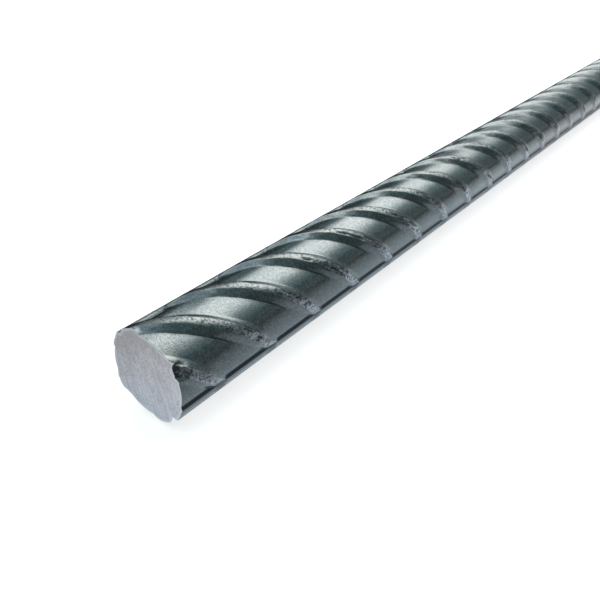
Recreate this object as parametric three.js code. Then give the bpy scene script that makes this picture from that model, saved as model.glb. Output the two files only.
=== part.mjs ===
// A deformed reinforcing bar, sawn to length: a round core with two ribs rolled along it, opposite each other.
// Millimetres, +Z up, +X along the bar. The origin is on the bar's axis, halfway between its sawn ends.
// The bar lies on a level floor on its round core, with both long ribs clear of the floor.
// The slanting ribs between the two long ones are surface relief, and aren't part of this solid.
import * as THREE from "three";

// Driving dimensions
const barLength = 1000; // between the sawn ends
const coreDiameter = 31; // of the round core, between the ribs
const ribFootWidth = 7.9; // of a long rib, where its flanks meet the core
const ribTopWidth = 6; // of a long rib, between the edges of its flat top
const lowEdgeHeight = 0.95; // of the top's lower edge above the core: the rolls leave the top a little aslant
const highEdgeHeight = 1.7; // and of its other edge
const ribEdgeRadius = 0.3; // where a rib's top turns over into its flanks
const ribFootRadius = 0.7; // of the fillets between a rib's flanks and the core
const lowerRibTurn = 55.5; // degrees from straight down, round towards -Y, to the middle of the lower long rib
const chordError = 0.03; // how far a facet may lie inside the curve that it stands for

const coreRadius = coreDiameter / 2;
const coreFacetTurn = facetTurn(coreRadius);

function facetTurn(radius) {
  return 2 * Math.acos(1 - chordError / radius);
}

// Points along an arc, close enough together for the chord error. It runs clockwise if its end angle is the smaller.
function arcPoints(centre, radius, from, to) {
  const facets = Math.ceil(Math.abs(to - from) / facetTurn(radius));
  return new THREE.ArcCurve(centre.x, centre.y, radius, from, to, to < from).getPoints(facets);
}

// A point of the section at a distance from the axis, x to the right of the middle of a rib that points up.
function corner(x, radius) {
  return new THREE.Vector2(x, Math.sqrt(radius ** 2 - x ** 2));
}

// The direction from one point to the next, and the normal on its right-hand side.
function side(from, to) {
  const along = to.clone().sub(from).normalize();
  return { from, along, normal: new THREE.Vector2(along.y, -along.x) };
}

// The middle of the fillet between a flank and the core, beside the foot of the flank.
function footCentre(flank, foot) {
  const out = flank.normal.dot(foot) + ribFootRadius;
  const up = Math.sqrt((coreRadius + ribFootRadius) ** 2 - out ** 2) * Math.sign(flank.along.dot(foot));
  return flank.normal.clone().multiplyScalar(out).addScaledVector(flank.along, up);
}

// The rounding between two sides that meet in a point, anticlockwise.
function edgePoints(before, after) {
  const inward = ribEdgeRadius / (1 + before.normal.dot(after.normal));
  const centre = after.from.clone().addScaledVector(before.normal, -inward).addScaledVector(after.normal, -inward);
  return arcPoints(centre, ribEdgeRadius, before.normal.angle(), after.normal.angle());
}

// Half of the section, anticlockwise: a rib that points up, then the core as far as the foot of the opposite rib.
function halfSection() {
  const rightFoot = corner(ribFootWidth / 2, coreRadius);
  const lowEdge = corner(ribTopWidth / 2, coreRadius + lowEdgeHeight);
  const highEdge = corner(-ribTopWidth / 2, coreRadius + highEdgeHeight);
  const leftFoot = corner(-ribFootWidth / 2, coreRadius);
  const right = side(rightFoot, lowEdge);
  const top = side(lowEdge, highEdge);
  const left = side(highEdge, leftFoot);
  const rightCentre = footCentre(right, rightFoot);
  const leftCentre = footCentre(left, leftFoot);
  const underAxis = Math.PI / 2 + THREE.MathUtils.degToRad(lowerRibTurn); // or above it, on the other half
  return [
    ...arcPoints(rightCentre, ribFootRadius, rightCentre.angle() + Math.PI, right.normal.angle() + Math.PI),
    ...edgePoints(right, top),
    ...edgePoints(top, left),
    ...arcPoints(leftCentre, ribFootRadius, left.normal.angle() + Math.PI, leftCentre.angle() + Math.PI),
    // The facet under the axis is level, so that the bar rests flat on it.
    ...arcPoints(new THREE.Vector2(), coreRadius, leftCentre.angle(), underAxis - coreFacetTurn / 2).slice(1),
    ...arcPoints(new THREE.Vector2(), coreRadius, underAxis + coreFacetTurn / 2, rightCentre.angle() + Math.PI).slice(0, -1),
  ];
}

// The whole section: the same half twice, half a turn apart.
function barSection() {
  const half = halfSection();
  const opposite = half.map((p) => new THREE.Vector2(-p.x, -p.y));
  return new THREE.Shape([...half, ...opposite]);
}

const millScale = new THREE.MeshStandardMaterial({ color: 0x5e6a6c, roughness: 0.42, metalness: 0.6 });

function reinforcingBar() {
  const geometry = new THREE.ExtrudeGeometry(barSection(), { depth: barLength, bevelEnabled: false });
  geometry.translate(0, 0, -barLength / 2);
  const alongX = new THREE.Matrix4().makeBasis(
    new THREE.Vector3(0, 1, 0),
    new THREE.Vector3(0, 0, 1),
    new THREE.Vector3(1, 0, 0),
  );
  geometry.applyMatrix4(alongX);
  const bar = new THREE.Mesh(geometry, millScale);
  bar.name = "reinforcing_bar";
  bar.rotation.x = -THREE.MathUtils.degToRad(lowerRibTurn);
  return bar;
}

const part = new THREE.Group();
part.add(reinforcingBar());
export default part;
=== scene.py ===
import itertools
import math

import bmesh
import bpy
import numpy as np
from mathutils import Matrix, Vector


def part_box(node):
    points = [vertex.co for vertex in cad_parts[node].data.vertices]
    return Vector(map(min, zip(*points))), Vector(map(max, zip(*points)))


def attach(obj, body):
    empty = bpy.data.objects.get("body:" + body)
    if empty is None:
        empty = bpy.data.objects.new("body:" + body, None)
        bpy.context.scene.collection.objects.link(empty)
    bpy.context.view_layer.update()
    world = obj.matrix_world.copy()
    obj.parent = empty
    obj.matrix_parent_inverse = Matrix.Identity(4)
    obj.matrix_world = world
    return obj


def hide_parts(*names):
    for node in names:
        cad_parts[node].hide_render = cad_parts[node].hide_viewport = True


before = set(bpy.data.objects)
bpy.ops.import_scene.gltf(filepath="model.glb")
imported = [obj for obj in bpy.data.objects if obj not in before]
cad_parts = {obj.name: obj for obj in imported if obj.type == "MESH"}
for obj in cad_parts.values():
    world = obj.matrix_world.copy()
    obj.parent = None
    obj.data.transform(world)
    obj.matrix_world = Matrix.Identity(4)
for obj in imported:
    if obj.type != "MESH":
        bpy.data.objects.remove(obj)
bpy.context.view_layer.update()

# Metres throughout. X runs along the bar, away from its near sawn end, Z is up, and Y points away from the
# camera. Places round the bar are given as a turn in degrees: 0 is straight up, and it grows over the
# front towards the floor. Places across one side, between the two long ribs, count from its middle.

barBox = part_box("reinforcing_bar")
nearEnd, farEnd = barBox[0].x, barBox[1].x
millimetre = 0.001

cameraView = {
    "fromNearEnd": (-0.1015, -0.1385, 0.1300),
    "tiltDown": 31.66,  # degrees below level
    "heading": -52.65,  # degrees, from looking along +Y
    "lens": 39.48,
    "sensorWidth": 36,
    "clipStart": 0.01,
}


def makeCamera(view):
    camera = bpy.data.objects.new("camera", bpy.data.cameras.new("camera"))
    bpy.context.scene.collection.objects.link(camera)
    x, y, z = view["fromNearEnd"]
    camera.location = (nearEnd + x, y, z)
    camera.rotation_euler = (math.radians(90 - view["tiltDown"]), 0, math.radians(view["heading"]))
    camera.data.lens = view["lens"]
    camera.data.sensor_width = view["sensorWidth"]
    camera.data.clip_start = view["clipStart"]
    bpy.context.scene.camera = camera
    print("camera: in place")


# Odd factors that scatter the values at the corners of the lumps' cells.
cellFactors = (73856093, 19349663, 83492791)
seedFactor, mixingFactor = 40503, 1274126177


# Smooth seeded lumps in space, from -1 to 1, about `size` across.
def lumps(points, size, seed):
    cell = points / size + 37.3  # so that the bar's axis isn't on a corner of the cells
    corner = np.floor(cell).astype(np.int64)
    part = cell - corner
    part = part * part * part * (part * (part * 6 - 15) + 10)
    total = np.zeros(len(points))
    for beyond in itertools.product((0, 1), repeat=3):
        mixed = np.bitwise_xor.reduce((corner + beyond) * cellFactors, axis=1) ^ (seed * seedFactor)
        mixed = (mixed ^ (mixed >> 13)) * mixingFactor & 0x7FFFFFFF
        mixed = (mixed ^ (mixed >> 11)) & 0xFFFF
        weight = np.prod(np.abs(1 - np.array(beyond) - part), axis=1)
        total += weight * (2 * mixed / 0xFFFF - 1)
    return total


# Several layers of lumps, each with its height, size and seed.
def lumpLayers(points, layers):
    return sum(height * lumps(points, size, seed) for height, size, seed in layers)


# The lower, or the higher, of two heights, rounded where they meet.
def softLower(a, b, rounding):
    overlap = np.clip(0.5 + 0.5 * (b - a) / rounding, 0, 1)
    return b + (a - b) * overlap - rounding * overlap * (1 - overlap)


def softHigher(a, b, rounding):
    return -softLower(-a, -b, rounding)


# Rises smoothly from 0 to 1 between the two places, which may be in either order.
def ramp(value, start, end):
    part = np.clip((value - start) / (end - start), 0, 1)
    return part * part * (3 - 2 * part)


barShape = {
    "coreRadius": 15.5 * millimetre,
    "longRibFootWidth": 7.9 * millimetre,
    "longRibTopWidth": 6.0 * millimetre,
    "longRibLowEdge": 0.95 * millimetre,  # heights of the edges of its top over the core
    "longRibHighEdge": 1.7 * millimetre,
    "longRibRounding": 0.25 * millimetre,
    "chamfer": 0.13 * millimetre,  # round the sawn faces
    "sawnUnevenness": 0.06 * millimetre,  # of the sawn faces, in wide lumps of the next size
    "sawnLumps": 7 * millimetre,
    "sawnSeeds": (8, 9),
    "sawnRim": 8,  # how soon the faces get uneven, in from their rims
    # Dents in the rim of the near sawn end: turn, half width in degrees, depth and reach along the bar in
    # millimetres. One with less than no depth stands out.
    "dents": [(61.5, 10, 2.0, 4.5), (-11, 7, -0.7, 1.2)],
    "dentEdges": (0.3, 0.8),  # how soft, round the bar and along it, as parts of the dent's size
    # The scale has flaked off round a dent deeper than this. How far, in the dent's half widths and
    # reaches, how soft the edge is, and how much of the scale is gone.
    "flakedDent": (1, 1.5, 1.3, 0.5, 0.55),
    "frontMiddle": 34.5,  # turn of the middle of the front side
    "halfSide": 74,  # degrees from there to where the slanting ribs end
    "pitch": 26.92 * millimetre,  # of the slanting ribs
    "aheadOfFoot": 1 * millimetre,  # where one rib's stretch of the bar gives way to the next
    # Where the front foot of each side's first slanting rib crosses the side's middle, from the near end.
    "firstRib": (-14.2 * millimetre, -14.7 * millimetre),
    "lead": (0.338 * millimetre, 0.35 * millimetre),  # of each side's slanting ribs, per degree of turn
    "bend": 0.07,  # how far the ribs' ends fall behind
    # Heights of a slanting rib's shoulder, at the front of its top, and of its lip, at the back: in the
    # middle of a side, at its upper end and at its lower end. Its top bulges a little between them.
    "shoulderHeights": (1.72 * millimetre, 1.38 * millimetre, 0.65 * millimetre),
    "lipHeights": (1.8 * millimetre, 1.38 * millimetre, 0.85 * millimetre),
    "bulge": 0.16 * millimetre,
    "frontRun": 4.5 * millimetre,  # lengths along the bar of a slanting rib's front flank,
    "landRun": 4.9 * millimetre,  # its top,
    "steepRun": 0.8 * millimetre,  # and its back flank, steep at first
    "backRun": 3.4 * millimetre,
    "steepPart": 0.43,  # of the height
    "hollow": 0.36,  # how much flatter it runs out
    "shoulderRound": 0.1 * millimetre,
    "lipRound": 0.08 * millimetre,
    "hollowRound": 0.12 * millimetre,
    "footRound": 0.05 * millimetre,
    "heelRound": 0.08 * millimetre,
    "longRibMeeting": 0.1 * millimetre,  # rounding where the slanting ribs run into the long ones
    # Lumps, each with its height, size and seed: along the ragged edges of the slanting ribs' tops, on
    # those tops, and all over the bar, whose surface lies a little lower to make room for them.
    "raggedEdges": [(0.3 * millimetre, 1.8 * millimetre, 1), (0.18 * millimetre, 0.9 * millimetre, 2)],
    "roughTops": [(0.06 * millimetre, 2.1 * millimetre, 3), (0.035 * millimetre, 0.9 * millimetre, 4)],
    "rougherLow": 2,  # how much rougher the tops get low on a side
    "waves": [(0.05 * millimetre, 22 * millimetre, 5), (0.012 * millimetre, 5 * millimetre, 6)],
    "lowered": 0.025 * millimetre,
    # Flaked spots on the tops of the slanting ribs, most of them low on a side. Lengths are in
    # millimetres.
    "scabs": {
        "depth": 0.3,
        "pastTop": 2,  # how far past a rib's top they may reach
        "onEachRib": 6,
        "seed": 1000,
        # Drawn at random: distance past the rib's shoulder, degrees across (least, likeliest and most),
        # half width along the bar, half length round it, and how much of a knob stands in the middle.
        "pastShoulder": (0.5, 4.5),
        "across": (-20, 32, 56),
        "halfWidth": (0.7, 1.5),
        "halfLength": (1.2, 3.4),
        "knob": (0, 0.8),
        "girthPerDegree": 0.27,
        # Softness of a spot's edge and of its knob's, as parts of their sizes, how many times smaller the
        # knob is, and how much brighter.
        "softEdge": 0.35,
        "softKnob": 0.5,
        "knobSmaller": 2.6,
        "knobBrighter": 0.9,
        # The first ribs in front have these instead, with their distance past the rib's front foot.
        "firstRibs": {
            (0, 0): [(6.5, 47, 1.2, 0.7, 0), (7.6, 52, 1.6, 0.5, 0)],
            (0, 1): [
                (8.4, 29.5, 1.2, 1.5, 0.9),
                (8.8, 22, 1.0, 0.5, 0),
                (6.4, 50, 2.0, 0.6, 0),
                (7.6, 47, 1.0, 0.4, 0),
            ],
            (0, 2): [
                (8.6, 17, 1.3, 0.9, 0),
                (8.3, 24, 0.9, 1.3, 0.4),
                (7.8, 32, 1.5, 0.9, 0),
                (7.8, 47, 2.2, 0.6, 0.2),
            ],
        },
    },
    # Where the masks of the finish begin and are full.
    "masks": {
        "low": (0, 38),  # degrees across: the low part of a side,
        "high": (-18, -46),  # its high part,
        "heelUpper": (-35, -15),  # the ends of the painted highlight line behind a slanting rib, in the worn colour,
        "heelLower": (40, 20),
        "footLower": (55, 20),  # and the lower end of the painted shade line in the crease before it
        "lineEdge": (0.45 * millimetre, 0.15 * millimetre),  # those lines' edges, from their middles
        "footLine": -0.1 * millimetre,  # from the foot to the middle of the painted shade line
        # The edges of a slanting rib's top, by how far it lies under the front flank and by the distance
        # past the lip.
        "landFront": (0, 0.12 * millimetre),
        "landBack": (0.15 * millimetre, -0.15 * millimetre),
        "raised": (0.02, 0.1),  # flaked spots keep to where a rib stands up, as a part of its height
        "pitted": (0.2 * millimetre, 0.6 * millimetre),  # and so do their pits
        "plain": (-0.12 * millimetre, 0.12 * millimetre),  # and the painted shade lines to where no slanting rib lies over it
        # Painted shade on a long rib, as dark lines: both their edges, in radians of turn from its middle
        # towards its high edge, and how dark each is.
        "paintedShadeLines": [
            ((0, -0.05), (-0.285, -0.255), 1.0),
            ((0.225, 0.25), (0.285, 0.255), 0.7),
            ((0.13, 0.16), (0.21, 0.2), 0.8),
        ],
    },
}


# Radius of the plain section, by the turn in radians from the middle of the nearest long rib towards its
# high edge.
def sectionRadius(away, shape):
    core, rounding = shape["coreRadius"], shape["longRibRounding"]
    foot, top = shape["longRibFootWidth"] / 2, shape["longRibTopWidth"] / 2
    lowEdge, highEdge = core + shape["longRibLowEdge"], core + shape["longRibHighEdge"]
    corners = [(-foot, core), (-top, lowEdge), (top, highEdge), (foot, core)]
    corners = [(x, math.sqrt(distance**2 - x**2)) for x, distance in corners]
    rib = np.full(len(away), 2 * core)  # above everything, until the flanks and the top cut it down
    for (x1, y1), (x2, y2) in zip(corners[:-1], corners[1:]):
        width = math.hypot(x2 - x1, y2 - y1)
        normalX, normalY = (y1 - y2) / width, (x2 - x1) / width
        facing = normalX * np.sin(away) + normalY * np.cos(away)
        facing = np.maximum(facing, 0.2)  # so that a flank seen from far off doesn't turn over
        rib = softLower(rib, (normalX * x1 + normalY * y1) / facing, rounding)
    nearRib = np.abs(away) < 0.45  # radians
    return np.where(nearRib, softHigher(rib, core + 0 * away, rounding), core)


# How far along the bar a slanting rib has come at places across a side, from where it crosses the middle.
def ridgeLine(across, side, shape):
    bend = shape["bend"] * (across / shape["halfSide"]) ** 2
    return np.where(side == 0, *shape["lead"]) * across * (1 - bend)


# How deep the flaked spots are, in metres, and their mask.
def scabPits(past, across, number, side, shape):
    scabs, past = shape["scabs"], past / millimetre
    depth, mask = np.zeros(len(past)), np.zeros(len(past))
    shoulder = shape["frontRun"] / millimetre
    lip = shoulder + shape["landRun"] / millimetre
    onTop = (past > shoulder - scabs["pastTop"]) & (past < lip + scabs["pastTop"])
    for rib in range(int(number.min()), int(number.max()) + 1):
        for half in (0, 1):
            random = np.random.default_rng(scabs["seed"] + 2 * rib + half)
            near = np.flatnonzero((number == rib) & (side == half) & onTop)
            spots = []
            for spot in range(scabs["onEachRib"]):
                middle = shoulder + random.uniform(*scabs["pastShoulder"])
                place = random.triangular(*scabs["across"])
                sizes = random.uniform(*scabs["halfWidth"]), random.uniform(*scabs["halfLength"])
                spots.append((middle, place, *sizes, random.uniform(*scabs["knob"])))
            for middle, place, width, length, knob in scabs["firstRibs"].get((half, rib), spots):
                reachAlong = (past[near] - middle) / width
                reachAcross = (across[near] - place) * scabs["girthPerDegree"] / length
                reach = np.hypot(reachAlong, reachAcross)
                inside = ramp(1 - reach, 0.0, scabs["softEdge"])
                knob = ramp(1 - scabs["knobSmaller"] * reach, 0.0, scabs["softKnob"]) * knob
                depth[near] = np.maximum(depth[near], scabs["depth"] * millimetre * (inside - knob))
                mask[near] = np.maximum(mask[near], inside - scabs["knobBrighter"] * knob)
    return depth, mask


# Height of the slanting ribs over the core, and masks of their parts. A rib has a straight flank at the
# front, a rough top and a hollow flank at the back.
def slantRibs(along, across, side, ragged, shape):
    past = along - np.choose(side.astype(int), shape["firstRib"]) - ridgeLine(across, side, shape)
    number = np.floor((past + shape["aheadOfFoot"]) / shape["pitch"])
    past = past - number * shape["pitch"]
    edged = past + ragged
    endPart = np.clip(np.abs(across) / shape["halfSide"], 0, 1) ** 2
    heights = []
    for middle, upper, lower in (shape["shoulderHeights"], shape["lipHeights"]):
        heights.append(middle + (np.where(across > 0, lower, upper) - middle) * endPart)
    shoulderHeight, lipHeight = heights

    pastShoulder = edged - shape["frontRun"]
    pastLip = pastShoulder - shape["landRun"]
    front = shoulderHeight + shape["shoulderHeights"][0] * pastShoulder / shape["frontRun"]
    part = pastShoulder / shape["landRun"]
    bulge = 4 * shape["bulge"] * part * (1 - part) * (1 - endPart)
    top = shoulderHeight + (lipHeight - shoulderHeight) * part + bulge
    scale = lipHeight / shape["lipHeights"][0]
    steepRun, backRun = shape["steepRun"] * scale, shape["backRun"] * scale
    steep = lipHeight * (1 - shape["steepPart"] * pastLip / steepRun)
    part = (pastLip - ragged - steepRun) / backRun
    back = lipHeight * (1 - shape["steepPart"]) * (1 - part) * (1 - shape["hollow"] * np.minimum(part, 1))
    rise = softLower(front, top, shape["shoulderRound"])
    rise = softLower(rise, softHigher(steep, back, shape["hollowRound"]), shape["lipRound"])
    rise = softHigher(rise, 0 * rise, np.where(pastLip > 0, shape["heelRound"], shape["footRound"]))

    edges = shape["masks"]
    land = ramp(front - top, *edges["landFront"]) * ramp(pastLip, *edges["landBack"])
    low, high = ramp(across, *edges["low"]), ramp(across, *edges["high"])
    fromHeel = np.abs(past - shape["frontRun"] - shape["landRun"] - steepRun - backRun)
    heel = ramp(fromHeel, *edges["lineEdge"]) * ramp(across, *edges["heelUpper"])
    heel = heel * ramp(across, *edges["heelLower"])
    footPlace = shape["frontRun"] * (1 - shoulderHeight / shape["shoulderHeights"][0])
    fromFoot = np.abs(past - footPlace - edges["footLine"])
    foot = ramp(fromFoot, *edges["lineEdge"]) * ramp(across, *edges["footLower"])
    pits, scab = scabPits(edged, across, number, side, shape)
    scab = scab * ramp(rise / shoulderHeight, *edges["raised"])
    rise = rise - pits * ramp(rise, *edges["pitted"])
    return rise, {"land": land, "heel": heel, "foot": foot, "low": low, "high": high, "scab": scab}


# Radius of the whole bar and its masks, at places along it and across one side in degrees.
def barRadius(along, across, side, shape):
    core = shape["coreRadius"]
    away = np.radians(across - 90 * np.where(across < 0, -1, 1))
    turn = np.radians(shape["frontMiddle"] + across + 180 * side)
    points = np.stack([along, -core * np.sin(turn), core * np.cos(turn)], 1)
    rise, masks = slantRibs(along, across, side, lumpLayers(points, shape["raggedEdges"]), shape)
    plain = sectionRadius(away, shape)
    rough = masks["land"] * lumpLayers(points, shape["roughTops"])
    ribbed = core + rise + rough * (1 + shape["rougherLow"] * masks["low"])
    radius = softHigher(plain, ribbed, shape["longRibMeeting"]) - shape["lowered"]
    radius = radius + lumpLayers(points, shape["waves"])
    edges = shape["masks"]
    # Painted shade: dark lines along the long ribs' edges, kept to where no slanting rib lies over them.
    paintedShadeLines = sum(dark * ramp(away, *one) * ramp(away, *other) for one, other, dark in edges["paintedShadeLines"])
    masks["corner"] = paintedShadeLines * ramp(plain - ribbed, *edges["plain"])
    softRound, softAlong = shape["dentEdges"]
    deep, farRound, farAlong, softEdge, flaked = shape["flakedDent"]
    for place, halfWidth, depth, reach in shape["dents"]:
        aside = np.abs((np.degrees(turn) - place + 180) % 360 - 180) / halfWidth
        inward = along / (reach * millimetre)
        dent = ramp(1 - aside, 0, softRound) * ramp(1 - inward, 0, softAlong)
        radius = radius - dent * depth * millimetre
        if depth > deep:
            around = ramp(farRound - aside, 0, softEdge) * ramp(farAlong - inward, 0, softEdge)
            masks["scab"] = np.maximum(masks["scab"], np.maximum(dent, flaked * around))
    return radius, turn, masks


barMesh = {
    # Lines that every slanting rib has, in millimetres from its foot, its shoulder, its lip, the hollow
    # behind it and its heel.
    "edgeLines": ((-0.4, 0, 0.3), (-0.3, 0.3), (-0.2,), (0.2,), (-0.3, 0.3)),
    # Millimetres between the lines from each of those to the next, and how much coarser they get: by the
    # number of the rib, and on each side.
    "lineSpacings": [0.4, 0.3, 0.7, 0.3, 0.6, 0.4, 0.6, 0.3, 1.6],
    "coarseness": [(0, 1.0), (5, 1.0), (9, 1.7), (14, 2.6), (18, 3.6), (60, 3.6)],
    "sideCoarseness": (1.0, 1.3),
    "endMargin": 0.3 * millimetre,  # the least distance from a line to the end of the bar
    # Degrees from the middle of a long rib to the columns over half of it, and to the first on the core.
    "longRibColumns": [2.8, 6.0, 8.4, 9.3, 10.0, 10.6, 11.4, 12.3, 13.2, 14.0, 14.8, 15.8, 17.2, 19.2],
    "firstOnCore": 21.5,
    "columnStep": 2.75,  # degrees, on the core
    "capRings": [0.985, 0.93, 0.8, 0.62, 0.42, 0.2],  # on a sawn face, as parts of its outline
    "burrRings": 0.98,  # those above this are the burr at the edge of the face, painted lighter as an edge highlight
    "sharpAngle": 38,  # degrees
}


# Places of the mesh lines along one pitch: on every edge of a slanting rib, close together over it, wider
# on the core.
def lineOffsets(coarseness, shape, mesh):
    runs = [shape[name] / millimetre for name in ("frontRun", "landRun", "steepRun", "backRun")]
    places = [0, *itertools.accumulate(runs)]
    edges = [place + line for place, lines in zip(places, mesh["edgeLines"]) for line in lines]
    last = edges[0] + shape["pitch"] / millimetre
    offsets = []
    for start, stop, spacing in zip(edges, [*edges[1:], last], mesh["lineSpacings"]):
        count = max(1, round((stop - start) / (spacing * coarseness)))
        offsets.extend(np.linspace(start, stop, count + 1)[:-1] * millimetre)
    return np.array(offsets)


# Places along the middle of one side of the lines over all its slanting ribs.
def sideLines(side, length, shape, mesh):
    first, pitch = shape["firstRib"][side], shape["pitch"]
    reach = ridgeLine(90, side, shape)  # to the middle of a long rib
    lines = []
    number = math.floor((-reach - first) / pitch)
    while first + number * pitch < length + reach:
        coarseness = np.interp(number, *zip(*mesh["coarseness"])) * mesh["sideCoarseness"][side]
        lines.extend(first + number * pitch + lineOffsets(coarseness, shape, mesh))
        number += 1
    return np.array(sorted(lines))


# Places of the mesh columns across one side, in degrees from its middle.
def columnPlaces(mesh):
    overRib, firstOnCore = np.array(mesh["longRibColumns"]), mesh["firstOnCore"]
    count = round((180 - 2 * firstOnCore) / mesh["columnStep"])
    core = np.linspace(firstOnCore, 180 - firstOnCore, count + 1)
    return np.concatenate([overRib, core, 180 - overRib[::-1]]) - 90


# The corners of a face, without those that fall on the one before.
def distinct(ring):
    return [corner for n, corner in enumerate(ring) if corner != ring[n - 1]]


# One side of the bar: its columns, as places (along, across, side), and the faces between them. The number
# of its first point is given. The lines that run past an end of the bar meet in each column's point there.
def meshSide(side, columns, firstPoint, shape, mesh):
    length = farEnd - nearEnd
    lines = sideLines(side, length, shape, mesh)
    lowest, highest = shape["chamfer"], length - shape["chamfer"]
    places, rows, faces = [], [], []
    for across in columns:
        along = lines + ridgeLine(across, side, shape)
        inside = (along > lowest + mesh["endMargin"]) & (along < highest - mesh["endMargin"])
        inside = np.flatnonzero(inside)
        kept = np.concatenate([[lowest], along[inside], [highest]])
        row = np.full(len(lines), firstPoint)
        row[inside] += 1 + np.arange(len(inside))
        row[inside[-1] + 1 :] += len(kept) - 1
        rows.append(row)
        places.append(np.stack([kept, np.full(len(kept), across), np.full(len(kept), side)], 1))
        firstPoint += len(kept)
    for left, right in zip(rows[:-1], rows[1:]):
        for i in range(len(lines) - 1):
            ring = distinct([left[i], right[i], right[i + 1], left[i + 1]])
            if len(ring) > 2:
                faces.append(ring)
    return places, faces


# Triangles between two straight columns, whose points are numbered in `left` and `right`.
def joinColumns(left, right, along):
    faces = []
    i, j, lastLeft, lastRight = 0, 0, len(left) - 1, len(right) - 1
    while i < lastLeft or j < lastRight:
        if j == lastRight or (i < lastLeft and along[left[i + 1]] <= along[right[j + 1]]):
            faces.append([left[i], right[j], left[i + 1]])
            i += 1
        else:
            faces.append([left[i], right[j], right[j + 1]])
            j += 1
    return faces


# A sawn face: a narrow chamfer, then rings that shrink to the middle. Its rim is numbered in `rim`.
def closeEnd(far, rim, points, masks, shape, mesh):
    level, inward = ((nearEnd, 1), (farEnd, -1))[far]
    outline, last, faces = points[rim][:, 1:], rim, []
    for ring in [1 - shape["chamfer"] / shape["coreRadius"], *mesh["capRings"], 0]:
        count = len(rim) if ring else 1
        added = np.concatenate([np.full((count, 1), level), outline[:count] * ring], 1)
        uneven = shape["sawnUnevenness"] * (1 + lumps(added, shape["sawnLumps"], shape["sawnSeeds"][far]))
        added[:, 0] += inward * uneven * min(1, (1 - ring) * shape["sawnRim"])
        now = [len(points) + (n if ring else 0) for n in range(len(rim))]
        for n in range(len(rim)):
            m = (n + 1) % len(rim)
            face = distinct([last[n], now[n], now[m], last[m]])
            faces.append(face if far else face[::-1])
        for name in masks:
            # The burr rings at the rim are painted lighter, as an edge highlight.
            burrHighlight = float(name == "rim" and ring > mesh["burrRings"])
            masks[name] = np.concatenate([masks[name], np.full(count, burrHighlight)])
        points = np.concatenate([points, added])
        last = now
    return points, faces


def makeBarMesh(shape, mesh):
    acrossPlaces = columnPlaces(mesh)
    places, faces = [], []
    for side in (0, 1):
        sidePlaces, sideFaces = meshSide(side, acrossPlaces, sum(map(len, places)), shape, mesh)
        places.extend(sidePlaces)
        faces.extend(sideFaces)
    ends = np.cumsum([len(column) for column in places]).tolist()
    columns = [range(end - len(column), end) for column, end in zip(places, ends)]
    places = np.concatenate(places)

    # The tops of the long ribs join the two sides.
    half = len(acrossPlaces)
    for left, right in ((half - 1, half), (2 * half - 1, 0)):
        faces.extend(joinColumns(columns[left], columns[right], places[:, 0]))

    radius, turn, masks = barRadius(places[:, 0], places[:, 1], places[:, 2], shape)
    points = np.stack([nearEnd + places[:, 0], -radius * np.sin(turn), radius * np.cos(turn)], 1)
    masks["rim"] = np.zeros(len(points))
    firstSawn = len(faces)
    for far in (0, 1):
        rim = [column[-1] if far else column[0] for column in columns]
        points, capFaces = closeEnd(far, rim, points, masks, shape, mesh)
        faces.extend(capFaces)
    return points, faces, masks, firstSawn


def makeBar(shape, mesh, materials):
    points, faces, masks, firstSawn = makeBarMesh(shape, mesh)
    data = bpy.data.meshes.new("ribbed_bar")
    data.from_pydata(points.tolist(), [], [[int(corner) for corner in face] for face in faces])
    data.validate()
    for name, values in masks.items():
        data.attributes.new(name, "FLOAT", "POINT").data.foreach_set("value", values.astype(np.float32))
    for material in materials:
        data.materials.append(material)
    data.polygons.foreach_set("material_index", [int(n >= firstSawn) for n in range(len(data.polygons))])
    data.polygons.foreach_set("use_smooth", [True] * len(data.polygons))
    data.update()
    data.set_sharp_from_angle(angle=math.radians(mesh["sharpAngle"]))
    bar = bpy.data.objects.new("ribbed_bar", data)
    bpy.context.scene.collection.objects.link(bar)
    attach(bar, "root")
    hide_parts("reinforcing_bar")
    print("bar:", len(points), "points,", sum(len(face) - 2 for face in faces), "triangles")
    return bar


# A value that varies over a surface. Arithmetic on it adds Math nodes.
class Wire:
    def __init__(self, shader, socket):
        self.shader, self.socket = shader, socket

    def __add__(self, other):
        return self.shader.math("ADD", self, other)

    def __sub__(self, other):
        return self.shader.math("SUBTRACT", self, other)

    def __rsub__(self, other):
        return self.shader.math("SUBTRACT", other, self)

    def __mul__(self, other):
        return self.shader.math("MULTIPLY", self, other)

    def __truediv__(self, other):
        return self.shader.math("DIVIDE", self, other)

    def __rtruediv__(self, other):
        return self.shader.math("DIVIDE", other, self)

    __radd__, __rmul__ = __add__, __mul__


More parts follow.
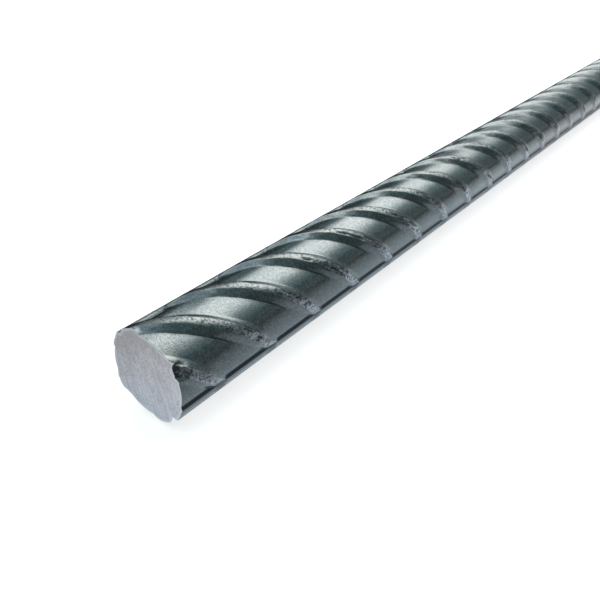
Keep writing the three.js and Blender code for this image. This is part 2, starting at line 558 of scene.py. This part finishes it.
# A material, lamp or world whose nodes are made by one method.
class Shader:
    def __init__(self, owner):
        owner.use_nodes = True
        self.tree = owner.node_tree
        self.tree.nodes.clear()

    def node(self, kind, settings=None, sockets=None, output=0):
        made = self.tree.nodes.new("ShaderNode" + kind)
        for name, value in (settings or {}).items():
            setattr(made, name, value)
        for name, value in (sockets or {}).items():
            if isinstance(value, Wire):
                self.tree.links.new(value.socket, made.inputs[name])
            else:
                made.inputs[name].default_value = value
        return Wire(self, made.outputs[output]) if len(made.outputs) else None

    def math(self, operation, *values):
        return self.node("Math", {"operation": operation}, dict(enumerate(values)))

    def added(self, first, second):
        return self.node("VectorMath", {"operation": "ADD"}, {0: first, 1: second})

    def scaled(self, color, level):
        return self.node("VectorMath", {"operation": "SCALE"}, {0: color, "Scale": level})

    def mask(self, name):
        return self.node("Attribute", {"attribute_name": name}, output="Fac")

    def ray(self, kind):
        return self.node("LightPath", output="Is " + kind + " Ray")

    def place(self):
        return self.node("TexCoord", output="Object")

    def component(self, vector, axis):
        return self.node("SeparateXYZ", {}, {"Vector": vector}, output=axis)

    def noise(self, place, scale, detail=2.0, roughness=0.5):
        sockets = {"Vector": place, "Scale": scale, "Detail": detail, "Roughness": roughness}
        return self.node("TexNoise", {}, sockets)

    def step(self, value, start, end, low=0.0, high=1.0):
        sockets = {"Value": value, "From Min": start, "From Max": end, "To Min": low, "To Max": high}
        return self.node("MapRange", {"interpolation_type": "SMOOTHSTEP"}, sockets)

    # The numbers are those of the Mix node's sockets for colours.
    def mix(self, factor, first, second):
        return self.node("Mix", {"data_type": "RGBA"}, {0: factor, 6: first, 7: second}, output=2)

    # A patch with soft edges. Each edge has the name of a direction in `ways`, the places along it where
    # the patch starts and is full, and maybe its levels there.
    def patch(self, ways, edges):
        steps = [self.step(ways[way], *limits) for way, *limits in edges]
        return math.prod(steps[1:], start=steps[0])

    # A colour with patches of others over it.
    def painted(self, ways, color, patches):
        for patchColor, edges in patches:
            color = self.mix(self.patch(ways, edges), color, patchColor)
        return color


scaleFinish = {
    "bright": (0.285, 0.287, 0.278, 1),
    "bluish": (0.242, 0.259, 0.261, 1),
    "worn": (0.275, 0.268, 0.252, 1),
    "lilac": (0.52, 0.51, 0.55, 1),
    "scab": (0.03, 0.026, 0.026, 1),
    "pits": (0.06, 0.06, 0.06, 1),
    # rust, and painted shade, on the high part of the slanting ribs' tops
    "rustAndShade": (0.06, 0.046, 0.038, 1),
    "brown": (0.15, 0.1, 0.085, 1),
    "crevice": (0.1, 0.11, 0.115, 1),
    # colour of the painted shade lines along the long ribs
    "paintedShadeLines": (0.045, 0.048, 0.052, 1),
    "metallic": 0.96,
    "roughness": 0.11,
    # Noise, each with its scale, detail and roughness.
    "clouds": (70, 3),
    "mottle": (900, 2, 0.6),
    "grain": (2200, 2, 0.6),
    "flakes": (850, 3, 0.7),
    "blotches": (330, 3, 0.6),
    # Where a noise starts to show a colour and where it is full, and maybe how much it shows there: all
    # over,
    "bluishClouds": (0.35, 0.65),
    "darkMottle": (0.62, 0.38, 0.0, 0.35),
    "darkGrain": (0.6, 0.38, 0.0, 0.55),
    # on the tops of the slanting ribs,
    "wornFlakes": (0.46, 0.64, 0.1, 0.85),
    "lilacFlakes": (0.42, 0.55),
    "pitFlakes": (0.49, 0.38, 0.0, 0.85),
    "fewerPitsLow": 0.45,
    # how much rust and painted shade lie high on a side
    "rustAndShadeHigh": 0.85,
    "brownBlotches": (0.52, 0.64, 0.0, 0.5),
    # behind and before them, where a highlight and a shade line are painted, and on the flaked spots.
    "heelHighlight": 0.4,
    "footShadeClouds": (0.3, 0.5, 0.3, 0.9),
    "scabMottle": (0.35, 0.5),
    # What is added to the roughness,
    "roughLand": 0.1,
    "roughScab": 0.3,
    "roughShadeLines": 0.15,
    "roughGrain": 0.2,
    # and taken from the metallic part.
    "dustyGrain": (0.38, 0.66, 0.0, 0.12),
    "dustyMottle": (0.4, 0.66, 0.0, 0.04),
    "dullScab": 0.5,
    "bumpHeight": 0.041 * millimetre,
    # Parts of that height.
    "grainHeight": 0.8,
    "mottleHeight": 0.4,
    "flakeHeight": 2.9,  # on the tops of the slanting ribs
}


def makeMillScale(finish):
    material = bpy.data.materials.new("mill_scale")
    shader = Shader(material)
    place = shader.place()
    land, heel, low, high = [shader.mask(name) for name in ("land", "heel", "low", "high")]
    scab, foot, corner = [shader.mask(name) for name in ("scab", "foot", "corner")]
    clouds, mottle, grain = [shader.noise(place, *finish[name]) for name in ("clouds", "mottle", "grain")]
    flakes, blotches = [shader.noise(place, *finish[name]) for name in ("flakes", "blotches")]

    bluish = shader.step(clouds, *finish["bluishClouds"])
    base = shader.mix(bluish, finish["bright"], finish["bluish"])
    base = shader.mix(shader.step(mottle, *finish["darkMottle"]), base, finish["crevice"])
    base = shader.mix(shader.step(grain, *finish["darkGrain"]), base, finish["crevice"])
    worn = land * (1 - low) * (1 - high) * shader.step(flakes, *finish["wornFlakes"])
    base = shader.mix(worn, base, finish["worn"])
    base = shader.mix(land * low * shader.step(flakes, *finish["lilacFlakes"]), base, finish["lilac"])
    pits = land * shader.step(flakes, *finish["pitFlakes"]) * (1 - low * finish["fewerPitsLow"])
    base = shader.mix(pits, base, finish["pits"])
    # Rust and painted shade: the high part of the slanting ribs' tops is darkened to a dark rust brown.
    base = shader.mix(land * high * finish["rustAndShadeHigh"], base, finish["rustAndShade"])
    brown = land * shader.step(blotches, *finish["brownBlotches"]) * low
    base = shader.mix(brown, base, finish["brown"])
    # Painted highlight: a lighter line along each slanting rib's heel, in the worn colour.
    base = shader.mix(heel * finish["heelHighlight"], base, finish["worn"])
    # Painted shade: a dark line in the crease at each slanting rib's front foot, broken up by clouds.
    footShade = foot * shader.step(clouds, *finish["footShadeClouds"])
    base = shader.mix(footShade, base, finish["pits"])
    # Painted shade: dark lines along the edges of the long ribs.
    base = shader.mix(corner, base, finish["paintedShadeLines"])
    dark = scab * shader.step(mottle, *finish["scabMottle"])
    base = shader.mix(dark, base, finish["scab"])

    roughness = finish["roughness"] + land * finish["roughLand"] + dark * finish["roughScab"]
    roughness = roughness + corner * finish["roughShadeLines"] + (grain - 0.5) * finish["roughGrain"]
    dusty = shader.step(grain, *finish["dustyGrain"]) + shader.step(mottle, *finish["dustyMottle"])
    metallic = finish["metallic"] - dusty - dark * finish["dullScab"]
    height = (grain - 0.5) * finish["grainHeight"] + (mottle - 0.5) * finish["mottleHeight"]
    height = height + (flakes - 0.5) * land * finish["flakeHeight"] - dark
    bump = shader.node("Bump", {}, {"Height": height, "Distance": finish["bumpHeight"], "Strength": 1.0})
    sockets = {"Base Color": base, "Roughness": roughness, "Normal": bump, "Metallic": metallic}
    surface = shader.node("BsdfPrincipled", {}, sockets)
    shader.node("OutputMaterial", {}, {"Surface": surface})
    print("mill scale: done")
    return material


sawnFinish = {
    "steel": (0.86, 0.83, 0.9, 1),
    "stain": (0.58, 0.555, 0.54, 1),
    # a burr at the face's rim, painted lighter as an edge highlight
    "burrHighlight": (0.95, 0.95, 0.95, 1),
    "metallic": 0.75,
    "roughness": 0.45,
    "sawTurn": 14,  # degrees of the saw marks from upright
    "sawMarks": (1, 1700, 75),  # scale of their noise, along the bar, across the marks and along them
    # Noise, each with its scale, detail and roughness.
    "streaks": (1, 3),
    "clouds": (190, 3, 0.65),
    "mottle": (1150, 3, 0.65),
    "darkerUpward": 12,  # how much darker and browner the face gets higher up, per metre
    # Where a noise starts to show the stain and where it is full, and maybe how much it shows there.
    "stainClouds": (0.36, 0.7, 0.0, 0.55),
    "stainMottle": (0.38, 0.64, -0.15, 0.55),
    "stainStreaks": (0.45, 0.7, 0.0, 0.6),
    "roughStreaks": 0.3,
    "mottleHeight": 0.5,  # as a part of the streaks'
    "bumpStrength": 0.6,
    "bumpHeight": 0.06 * millimetre,
}


def makeSawnSteel(finish):
    material = bpy.data.materials.new("sawn_steel")
    shader = Shader(material)
    place = shader.place()
    rotation = (math.radians(finish["sawTurn"]), 0, 0)
    turned = shader.node("Mapping", {}, {"Vector": place, "Rotation": rotation})
    marks = shader.node("Mapping", {}, {"Vector": turned, "Scale": finish["sawMarks"]})
    streaks = shader.noise(marks, *finish["streaks"])
    clouds, mottle = [shader.noise(place, *finish[name]) for name in ("clouds", "mottle")]
    # The face gets darker and browner towards the top.
    rising = clouds + shader.component(turned, "Z") * finish["darkerUpward"]
    stained = shader.step(rising, *finish["stainClouds"]) + shader.step(mottle, *finish["stainMottle"])
    base = shader.mix(stained, finish["steel"], finish["stain"])
    base = shader.mix(shader.step(streaks, *finish["stainStreaks"]), base, finish["stain"])
    # The burr at the rim, painted lighter as an edge highlight.
    base = shader.mix(shader.mask("rim"), base, finish["burrHighlight"])
    roughness = finish["roughness"] + (streaks - 0.5) * finish["roughStreaks"]
    relief = {
        "Height": streaks + mottle * finish["mottleHeight"],
        "Distance": finish["bumpHeight"],
        "Strength": finish["bumpStrength"],
    }
    bump = shader.node("Bump", {}, relief)
    sockets = {"Base Color": base, "Roughness": roughness, "Normal": bump, "Metallic": finish["metallic"]}
    surface = shader.node("BsdfPrincipled", {}, sockets)
    shader.node("OutputMaterial", {}, {"Surface": surface})
    print("sawn steel: done")
    return material


def addStage(name, data, material):
    data.materials.append(material)
    made = bpy.data.objects.new(name, data)
    bpy.context.scene.collection.objects.link(made)
    return made


# Directions are `along` the bar from its near end, and `across`, from its axis away from the camera.
floorLook = {
    "size": 40.0,
    "color": (0.8, 0.8, 0.8, 1),
    # For the camera: two distances from the bar's middle, and its own light there.
    "glow": (0.4, 2.0, 0.75, 1.0),
    # Its colour in reflections: by the bar's near end, and farther along.
    "byTheEnd": (0.96, 0.97, 1.0, 1),
    "farther": [
        ((0.76, 0.91, 1.0, 1), [("along", -0.03, 0.005)]),
        ((0.86, 0.93, 0.97, 1), [("along", 0.15, 0.45)]),
    ],
    "endLevel": (0.01, -0.03, 1.0, 1.05),  # a little brighter before the near end
    # In reflections the floor is bright close to the bar: how far, and its level there and beyond. Behind
    # and under the bar it is dark, and behind it brightens towards the far end.
    "poolInFront": (0.064, 0.93, 0.1),
    "growsInFront": (0.05, 0.28, 0.8, 1.28),
    "poolBehind": (0.22, 1.2, 0.03),
    "growsBehind": (0.38, 0.6),
    "behind": [("across", -0.015, 0.02), ("along", -0.01, 0.02)],
    "darkUnderBar": [("along", 0.02, 0.22), ("across", -0.0245, -0.017), ("along", 0.2, 0.45, 0.35, 0.55)],
}


# Pale all over for the camera, with the shadow near the bar. In the bar's own reflections it is brightest
# close by.
def makeFloor(level, look):
    material = bpy.data.materials.new("floor")
    shader = Shader(material)
    place = shader.place()
    along, across = shader.component(place, "X") - nearEnd, shader.component(place, "Y")
    ways = {"along": along, "across": across}
    pools = []
    for pool, grows in (("poolInFront", "growsInFront"), ("poolBehind", "growsBehind")):
        reach, bright, dim = look[pool]
        away = across * (1 / reach)
        pools.append(dim + shader.step(along, *look[grows]) * (bright - dim) / (1 + away * away))
    inFront, inBack = pools
    behind, underBar = shader.patch(ways, look["behind"]), shader.patch(ways, look["darkUnderBar"])
    pool = (inFront * (1 - behind) + inBack * behind) * (1 - underBar)
    mirrored = {
        "Color": shader.painted(ways, look["byTheEnd"], look["farther"]),
        "Strength": pool * shader.step(along, *look["endLevel"]),
    }
    distance = shader.node("VectorMath", {"operation": "LENGTH"}, {0: place}, output="Value")
    glow = {"Color": (1, 1, 1, 1), "Strength": shader.ray("Camera") * shader.step(distance, *look["glow"])}
    diffuse = shader.node("BsdfDiffuse", {}, {"Color": look["color"]})
    seen = shader.node("AddShader", {}, {0: diffuse, 1: shader.node("Emission", {}, glow)})
    inMirror = shader.math("MAXIMUM", shader.ray("Glossy"), shader.ray("Transmission"))
    choice = {0: inMirror, 1: seen, 2: shader.node("Emission", {}, mirrored)}
    shader.node("OutputMaterial", {}, {"Surface": shader.node("MixShader", {}, choice)})
    data = bpy.data.meshes.new("floor")
    half = look["size"] / 2
    corners = [(-half, -half, level), (half, -half, level), (half, half, level), (-half, half, level)]
    data.from_pydata(corners, [], [(0, 1, 2, 3)])
    addStage("floor", data, material)
    print("floor: at", round(level / millimetre, 2), "mm")


# Lengths are in heights of the lamp over the floor. Directions are `right`, which runs along the bar, and
# `behind`, both from a place over the near part of the bar.
lampLook = {
    "height": 2.2,
    "alongBar": 0.15,  # from the near end to that place, in metres
    "middle": (0.8, 0.7),
    "size": (4.0, 4.8),
    # Its brightest part: how far right it lies, how much farther back it gets to the right, and how much
    # its left edge is rounded.
    "color": (2.9, 2.95, 2.9),
    "ahead": 1.1,
    "slant": 0.19,
    "rounding": 0.16,
    # Its half widths, where it is half as bright, each with the power of its falloff: towards the near
    # end, the far end, the front and the back.
    "falloff": ((0.62, 12), (0.86, 3.5), (0.55, 2), (0.73, 4)),
    # The rest of the cloth, and the patches where it is darker.
    "clothColor": (0.147, 0.245, 0.268, 1),
    "clothDark": (
        [("right", 1.1, 0.8), ("behind", -0.25, -0.6, 0.0, 0.52)],
        [("right", 1.1, 0.8), ("behind", -0.9, -1.3, 0.0, 0.14)],
    ),
    # The window. Its right edge leans: how far right it is at a place behind, and how much farther right
    # per height farther back.
    "windowColor": (1.5, 1.87, 2.07, 1),
    "windowMiddle": [((1.75, 1.93, 1.95, 1), [("right", 0.1, 0.35)])],
    "windowEdge": (1.05, 1.38, 0.45),
    "window": [("behind", -0.14, -0.04), ("insideEdge", -0.06, 0.06), ("right", 0.05, 0.4, 0.22, 1)],
    "windowDip": [("right", 0.42, 0.56), ("behind", 0.2, 0.45), ("behind", 0.98, 0.75, 0.0, 0.8)],
    "windowShade": [("behind", 0.45, 0.8), ("slanting", 0.2, 0.0, 0.0, 0.65)],
    "shadeSlant": 0.5,
    "glintColor": (0.38, 0.41, 0.41),
    "glint": [("right", 0.0, 0.2), ("right", 0.6, 0.4), ("behind", -0.6, -0.15), ("behind", 0.3, 0.1)],
}


# The lamp is a wide cloth overhead. It is brightest over the bar, and lit evenly by a bluish window at the
# back and left.
def makeLamp(look):
    height = look["height"]
    lamp = bpy.data.lights.new("softbox", "AREA")
    lamp.shape = "RECTANGLE"
    lamp.size, lamp.size_y = look["size"][0] * height, look["size"][1] * height
    lamp.energy = math.pi * lamp.size * lamp.size_y  # so that the cloth is as bright as its colour says
    made = bpy.data.objects.new("softbox", lamp)
    x, y = [middle * height for middle in look["middle"]]
    made.location = (nearEnd + look["alongBar"] + x, y, height)
    made.visible_camera = False
    bpy.context.scene.collection.objects.link(made)

    shader = Shader(lamp)
    place = shader.node("NewGeometry", output="Parametric")
    right = (shader.component(place, "X") - 0.5) * look["size"][0] + look["middle"][0]
    behind = (shader.component(place, "Y") - 0.5) * look["size"][1] + look["middle"][1]
    edge, edgeBehind, lean = look["windowEdge"]
    insideEdge = edge + (behind - edgeBehind) * lean - right
    slanting = right - behind * look["shadeSlant"]
    ways = {"right": right, "behind": behind, "insideEdge": insideEdge, "slanting": slanting}

    past = right - look["ahead"]
    aside = behind - (right - look["middle"][0]) * look["slant"]
    nearer = shader.math("ABSOLUTE", behind) * look["rounding"] - past
    spread = 0.0
    for way, (halfWidth, power) in zip([nearer, past, aside * -1, aside], look["falloff"]):
        spread = shader.math("POWER", shader.math("MAXIMUM", way, 0.0) * (1 / halfWidth), power) + spread
    bright = shader.scaled(look["color"], shader.math("POWER", 0.5, spread))

    dip, shade = shader.patch(ways, look["windowDip"]), shader.patch(ways, look["windowShade"])
    window = shader.patch(ways, look["window"]) * (1 - dip) * (1 - shade)
    windowColor = shader.painted(ways, look["windowColor"], look["windowMiddle"])
    dark, darkest = [shader.patch(ways, edges) for edges in look["clothDark"]]
    cloth = shader.mix(dark + darkest, look["clothColor"], (0, 0, 0, 1))
    glint = shader.scaled(look["glintColor"], shader.patch(ways, look["glint"]))
    color = shader.added(shader.added(shader.mix(window, cloth, windowColor), bright), glint)
    light = shader.node("Emission", {}, {"Color": color, "Strength": 1.0})
    shader.node("OutputLight", {}, {"Surface": light})
    print("lamp: done")


# Directions are `right`, along the bar, `behind` and `up`, in metres from the bar's middle. Each wall has
# a colour and patches of others over it.
roomLook = {
    "wallDistance": 15.0,
    "frontWall": (0.197, 0.292, 0.312, 1),
    "frontPatches": [
        ((0.25, 0.32, 0.335, 1), [("right", 9, 14)]),
        ((0, 0, 0, 1), [("right", 4, 8), ("up", 0.2, 1.6, 0.0, 0.22)]),
        ((0, 0, 0, 1), [("right", 8.4, 6.6), ("right", -5, -1), ("up", -0.5, 1.5, 0.0, 0.5)]),
    ],
    "backWall": (0.038, 0.06, 0.068, 1),
    "backPatches": [
        ((0.23, 0.32, 0.38, 1), [("right", 8.5, 7.4), ("up", 0, 3.4, 0.12, 1)]),
        ((0.72, 0.78, 0.8, 1), [("right", 12, 14), ("up", 3.9, 5.6, 1, 0.25)]),
    ],
    "fromFrontToBack": (-3, 4.5),
    "worldLevel": 0.12,  # of the world's light on the object
}


# The dark walls of the studio show only in reflections. The world behind them is the white background.
def makeRoom(look):
    material = bpy.data.materials.new("studio_wall")
    shader = Shader(material)
    place = shader.place()
    ways = {way: shader.component(place, axis) for way, axis in zip(("right", "behind", "up"), "XYZ")}
    front = shader.painted(ways, look["frontWall"], look["frontPatches"])
    back = shader.painted(ways, look["backWall"], look["backPatches"])
    color = shader.mix(shader.step(ways["behind"], *look["fromFrontToBack"]), front, back)
    glow = shader.node("Emission", {}, {"Color": color, "Strength": 1.0})
    shader.node("OutputMaterial", {}, {"Surface": glow})
    data = bpy.data.meshes.new("studio_wall")
    mesh = bmesh.new()
    bmesh.ops.create_uvsphere(mesh, u_segments=48, v_segments=24, radius=look["wallDistance"])
    mesh.to_mesh(data)
    mesh.free()
    wall = addStage("studio_wall", data, material)
    for rays in ("camera", "diffuse", "transmission", "volume_scatter", "shadow"):
        setattr(wall, "visible_" + rays, False)

    world = bpy.data.worlds.new("studio")
    bpy.context.scene.world = world
    shader = Shader(world)
    seen = shader.math("MAXIMUM", shader.ray("Camera"), shader.ray("Glossy"))
    seen = shader.math("MAXIMUM", seen, shader.ray("Transmission"))
    level = look["worldLevel"] + seen * (1 - look["worldLevel"])
    background = shader.node("Background", {}, {"Color": (1, 1, 1, 1), "Strength": level})
    shader.node("OutputWorld", {}, {"Surface": background})
    print("room and world: done")


makeCamera(cameraView)
bar = makeBar(barShape, barMesh, [makeMillScale(scaleFinish), makeSawnSteel(sawnFinish)])
makeFloor(min(corner[2] for corner in bar.bound_box), floorLook)
makeLamp(lampLook)
makeRoom(roomLook)
bpy.context.scene.view_settings.view_transform = "Standard"
